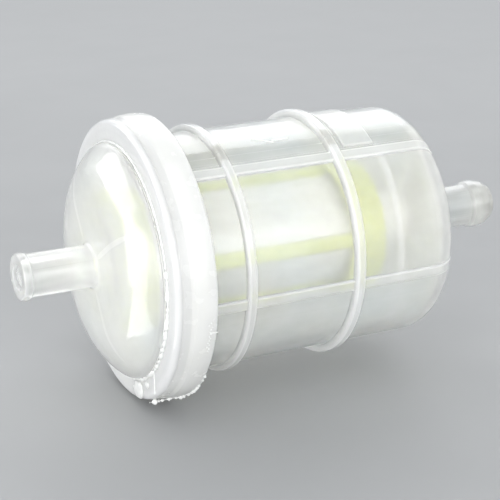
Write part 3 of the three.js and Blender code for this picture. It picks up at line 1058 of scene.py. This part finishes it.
def clear_plastic():
    """Natural plastic: clear on thin flats, and milkier with depth and edge on, with sharp edges
    whitened and clouded as a painted highlight.
    """
    look = Surface(
        "clear_natural_plastic", IOR=PLASTIC_IOR, Subsurface_Weight=1.0,
        Subsurface_Scale=SCATTER, Subsurface_Radius=(1.0, 1.0, 1.0),
    )
    depth = look.attribute("depth")
    edge = look.attribute("edge")
    clearness = look.between(look.noise(75), 0.80, 0.87)
    clearness = look.scaled(depth, -0.55, clearness)
    # Sharp edges are clouded as part of the painted edge highlight.
    clearness = look.scaled(edge, -0.35, clearness)
    look.set("Transmission Weight", look.scaled(look.facing(0.12), -0.7, clearness))
    look.let_lamps_through((0.86, 0.86, 0.86))
    wall = look.colours(look.noise(60), (0.86, 0.89, 0.90), (0.95, 0.945, 0.90))
    # Whiter with depth, and on sharp edges as a painted highlight.
    milk_and_edge_highlight = look.scaled(depth, 0.5, edge)
    look.set("Base Color", look.blended(milk_and_edge_highlight, wall, (0.99, 0.99, 0.97)))
    gloss = look.between(look.noise(260), 0.07, 0.13)
    look.set("Roughness", look.scaled(look.attribute("inside"), 0.06, gloss))
    ripple = look.bump(look.noise(170, stretch=(0.35, 1, 1)), distance=0.0004, strength=0.25)
    grain = look.bump(look.noise(1600), distance=0.00005, strength=0.15, under=ripple)
    look.set("Normal", grain)
    return look.material


def milky_plastic():
    """Thick plastic that scatters all the light that enters it."""
    look = Surface(
        "milky_weld_plastic", IOR=PLASTIC_IOR, Subsurface_Weight=1.0,
        Subsurface_Scale=SCATTER, Subsurface_Radius=(1.0, 1.0, 0.95),
    )
    look.set("Base Color", look.colours(look.noise(120), (0.78, 0.78, 0.75), (0.84, 0.84, 0.81)))
    look.set("Roughness", look.between(look.noise(300), 0.20, 0.30))
    return look.material


def whitened_plastic():
    """Plastic that stress or fast cooling has turned white, also used for a thread that lightens the
    groove's shade as painted light.
    """
    look = Surface("whitened_plastic", IOR=PLASTIC_IOR)
    look.set("Base Color", look.colours(look.noise(900), (0.86, 0.87, 0.85), (0.97, 0.97, 0.95)))
    look.set("Roughness", look.between(look.noise(700), 0.25, 0.4))
    return look.material


def yellow_plastic():
    """The cage's plastic, paler where the mesh says so."""
    look = Surface(
        "yellow_green_plastic", IOR=1.5, Subsurface_Weight=0.6, Subsurface_Scale=0.002,
        Subsurface_Radius=(1.0, 1.0, 0.4), Transmission_Weight=0.15,
    )
    yellow = look.colours(look.noise(150), (0.71, 0.77, 0.27), (0.78, 0.82, 0.36))
    look.set("Base Color", look.blended(look.attribute("pale"), yellow, (0.86, 0.87, 0.78)))
    look.set("Roughness", look.between(look.noise(400), 0.3, 0.45))
    look.set("Normal", look.bump(look.noise(900), distance=0.0001, strength=0.2))
    return look.material


def filter_cloth():
    """Fine woven cloth with streaks along the axis."""
    look = Surface(
        "woven_filter_cloth", Subsurface_Weight=0.5, Subsurface_Scale=0.001,
        Subsurface_Radius=(1.0, 1.0, 0.9), Sheen_Weight=0.2,
    )
    streaks = look.noise(900, stretch=(0.05, 1, 1))
    look.set("Base Color", look.colours(streaks, (0.84, 0.84, 0.77), (0.96, 0.96, 0.92)))
    look.set("Roughness", look.between(look.noise(500), 0.7, 0.9))
    look.set("Normal", look.bump(look.noise(4000), distance=0.0001, strength=0.4))
    return look.material


# ---- assembly ----

def place(piece, material, slot, *nodes):
    """Gives a piece its material, and puts it in the frame for those CAD nodes."""
    piece.data.materials.append(material)
    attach(piece, "root")
    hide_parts(*nodes)


def build_filter():
    clear = clear_plastic()
    milky = milky_plastic()
    white = whitened_plastic()
    yellow = yellow_plastic()
    cloth = filter_cloth()
    place(housing_shell(), clear, "clear_plastic", "housing_body")
    place(cap_shell(), clear, "clear_plastic", "end_cap")
    place(joint_ring_piece(), milky, "milky_plastic", "joint_ring")
    place(weld_marks_and_shade_fill_piece(), white, "milky_plastic", "joint_ring")
    place(scuffs_piece(), white, "clear_plastic", "housing_body")
    place(outlet_ring_piece(), yellow, "yellow_plastic", "element_outlet_ring")
    place(inlet_disc_piece(), yellow, "yellow_plastic", "element_inlet_disc")
    for number in range(1, 5):
        bar_node = f"element_bar_{number}"
        mesh_node = f"filter_mesh_{number}"
        place(cage_bar_piece(number, bar_node), yellow, "yellow_plastic", bar_node)
        place(mesh_panel_piece(number, mesh_node), cloth, "filter_cloth", mesh_node)


# ---- studio ----

CAMERA_AIM = Vector((-2.86, 0.43, -2.32))
CAMERA_AZIMUTH = -25.8
CAMERA_ELEVATION = 20.245
CAMERA_DISTANCE = 331
FOCAL_LENGTH = 126
SENSOR_WIDTH = 36
CARD_GLOW = 4.5                       # how bright a reflection card is
WORLD_COLOUR = (0.94, 0.97, 1.0, 1)
WORLD_STRENGTH = 0.71


def towards(azimuth, elevation):
    """The way from the object to something seen from that azimuth (0 is -Y) and elevation."""
    turn, rise = math.radians(azimuth), math.radians(elevation)
    return Vector((math.sin(turn) * math.cos(rise), -math.cos(turn) * math.cos(rise), math.sin(rise)))


def look_at(item, place_mm, target_mm):
    """Puts a camera or a lamp in the scene, turned towards a target."""
    item.location = Vector(place_mm) * MM
    facing = (Vector(target_mm) - Vector(place_mm)).to_track_quat("-Z", "Y")
    item.rotation_euler = facing.to_euler()
    bpy.context.scene.collection.objects.link(item)


def place_camera():
    data = bpy.data.cameras.new("camera")
    data.lens = FOCAL_LENGTH
    data.sensor_width = SENSOR_WIDTH
    data.clip_start = 0.01
    camera = bpy.data.objects.new("camera", data)
    place_mm = CAMERA_AIM + towards(CAMERA_AZIMUTH, CAMERA_ELEVATION) * CAMERA_DISTANCE
    look_at(camera, place_mm, CAMERA_AIM)
    bpy.context.scene.camera = camera


def area_lamp(name, width, height, power):
    """A rectangular lamp, sized in millimetres, that the camera doesn't see."""
    data = bpy.data.lights.new(name, "AREA")
    data.shape = "RECTANGLE"
    data.size = width * MM
    data.size_y = height * MM
    data.energy = power
    lamp = bpy.data.objects.new(name, data)
    lamp.visible_camera = False
    return lamp


def softbox(name, azimuth, elevation, distance, width, height, power):
    """A lamp aimed at the object, whose distance and size are in millimetres."""
    lamp = area_lamp(name, width, height, power)
    look_at(lamp, towards(azimuth, elevation) * distance, (0, 0, 0))


def reflection_card(name, place_mm, target_mm, width, height):
    """A card that shows as a bright reflection on glossy plastic, and nowhere else."""
    power = CARD_GLOW * math.pi * width * MM * height * MM
    card = area_lamp(name, width, height, power)
    card.visible_diffuse = False
    card.visible_transmission = False
    look_at(card, place_mm, target_mm)


def build_floor():
    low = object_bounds()[0]
    bpy.ops.mesh.primitive_plane_add(size=8, location=(0, 0, low[2]))
    floor = bpy.context.object
    floor.name = "floor"
    look = Surface("pale_floor")
    look.set("Base Color", look.colours(look.noise(6), (0.36, 0.365, 0.37), (0.38, 0.385, 0.39)))
    look.set("Roughness", look.between(look.noise(40), 0.55, 0.65))
    floor.data.materials.append(look.material)


def build_world():
    world = bpy.data.worlds.new("studio")
    world.use_nodes = True
    background = world.node_tree.nodes["Background"]
    background.inputs["Color"].default_value = WORLD_COLOUR
    background.inputs["Strength"].default_value = WORLD_STRENGTH
    bpy.context.scene.world = world


def build_studio():
    build_floor()
    build_world()
    softbox("back_softbox", azimuth=155, elevation=35, distance=500, width=700, height=360, power=1.3)
    softbox("top_softbox", azimuth=-20, elevation=75, distance=450, width=300, height=300, power=0.3)
    softbox("front_softbox", azimuth=-10, elevation=16, distance=700, width=1000, height=450, power=2.8)
    softbox("left_fill", azimuth=-60, elevation=5, distance=500, width=600, height=240, power=1.0)
    reflection_card("left_card", (-112, -14, 8), (-30, -14, 8), width=54, height=66)
    reflection_card("low_card", (-82, -14, -26), (-82, -14, 60), width=60, height=26)
    reflection_card("back_left_card", (-132, 68, 74), (-33, -8, 12), width=170, height=70)
    bpy.context.scene.view_settings.view_transform = "Standard"


build_filter()
place_camera()
build_studio()
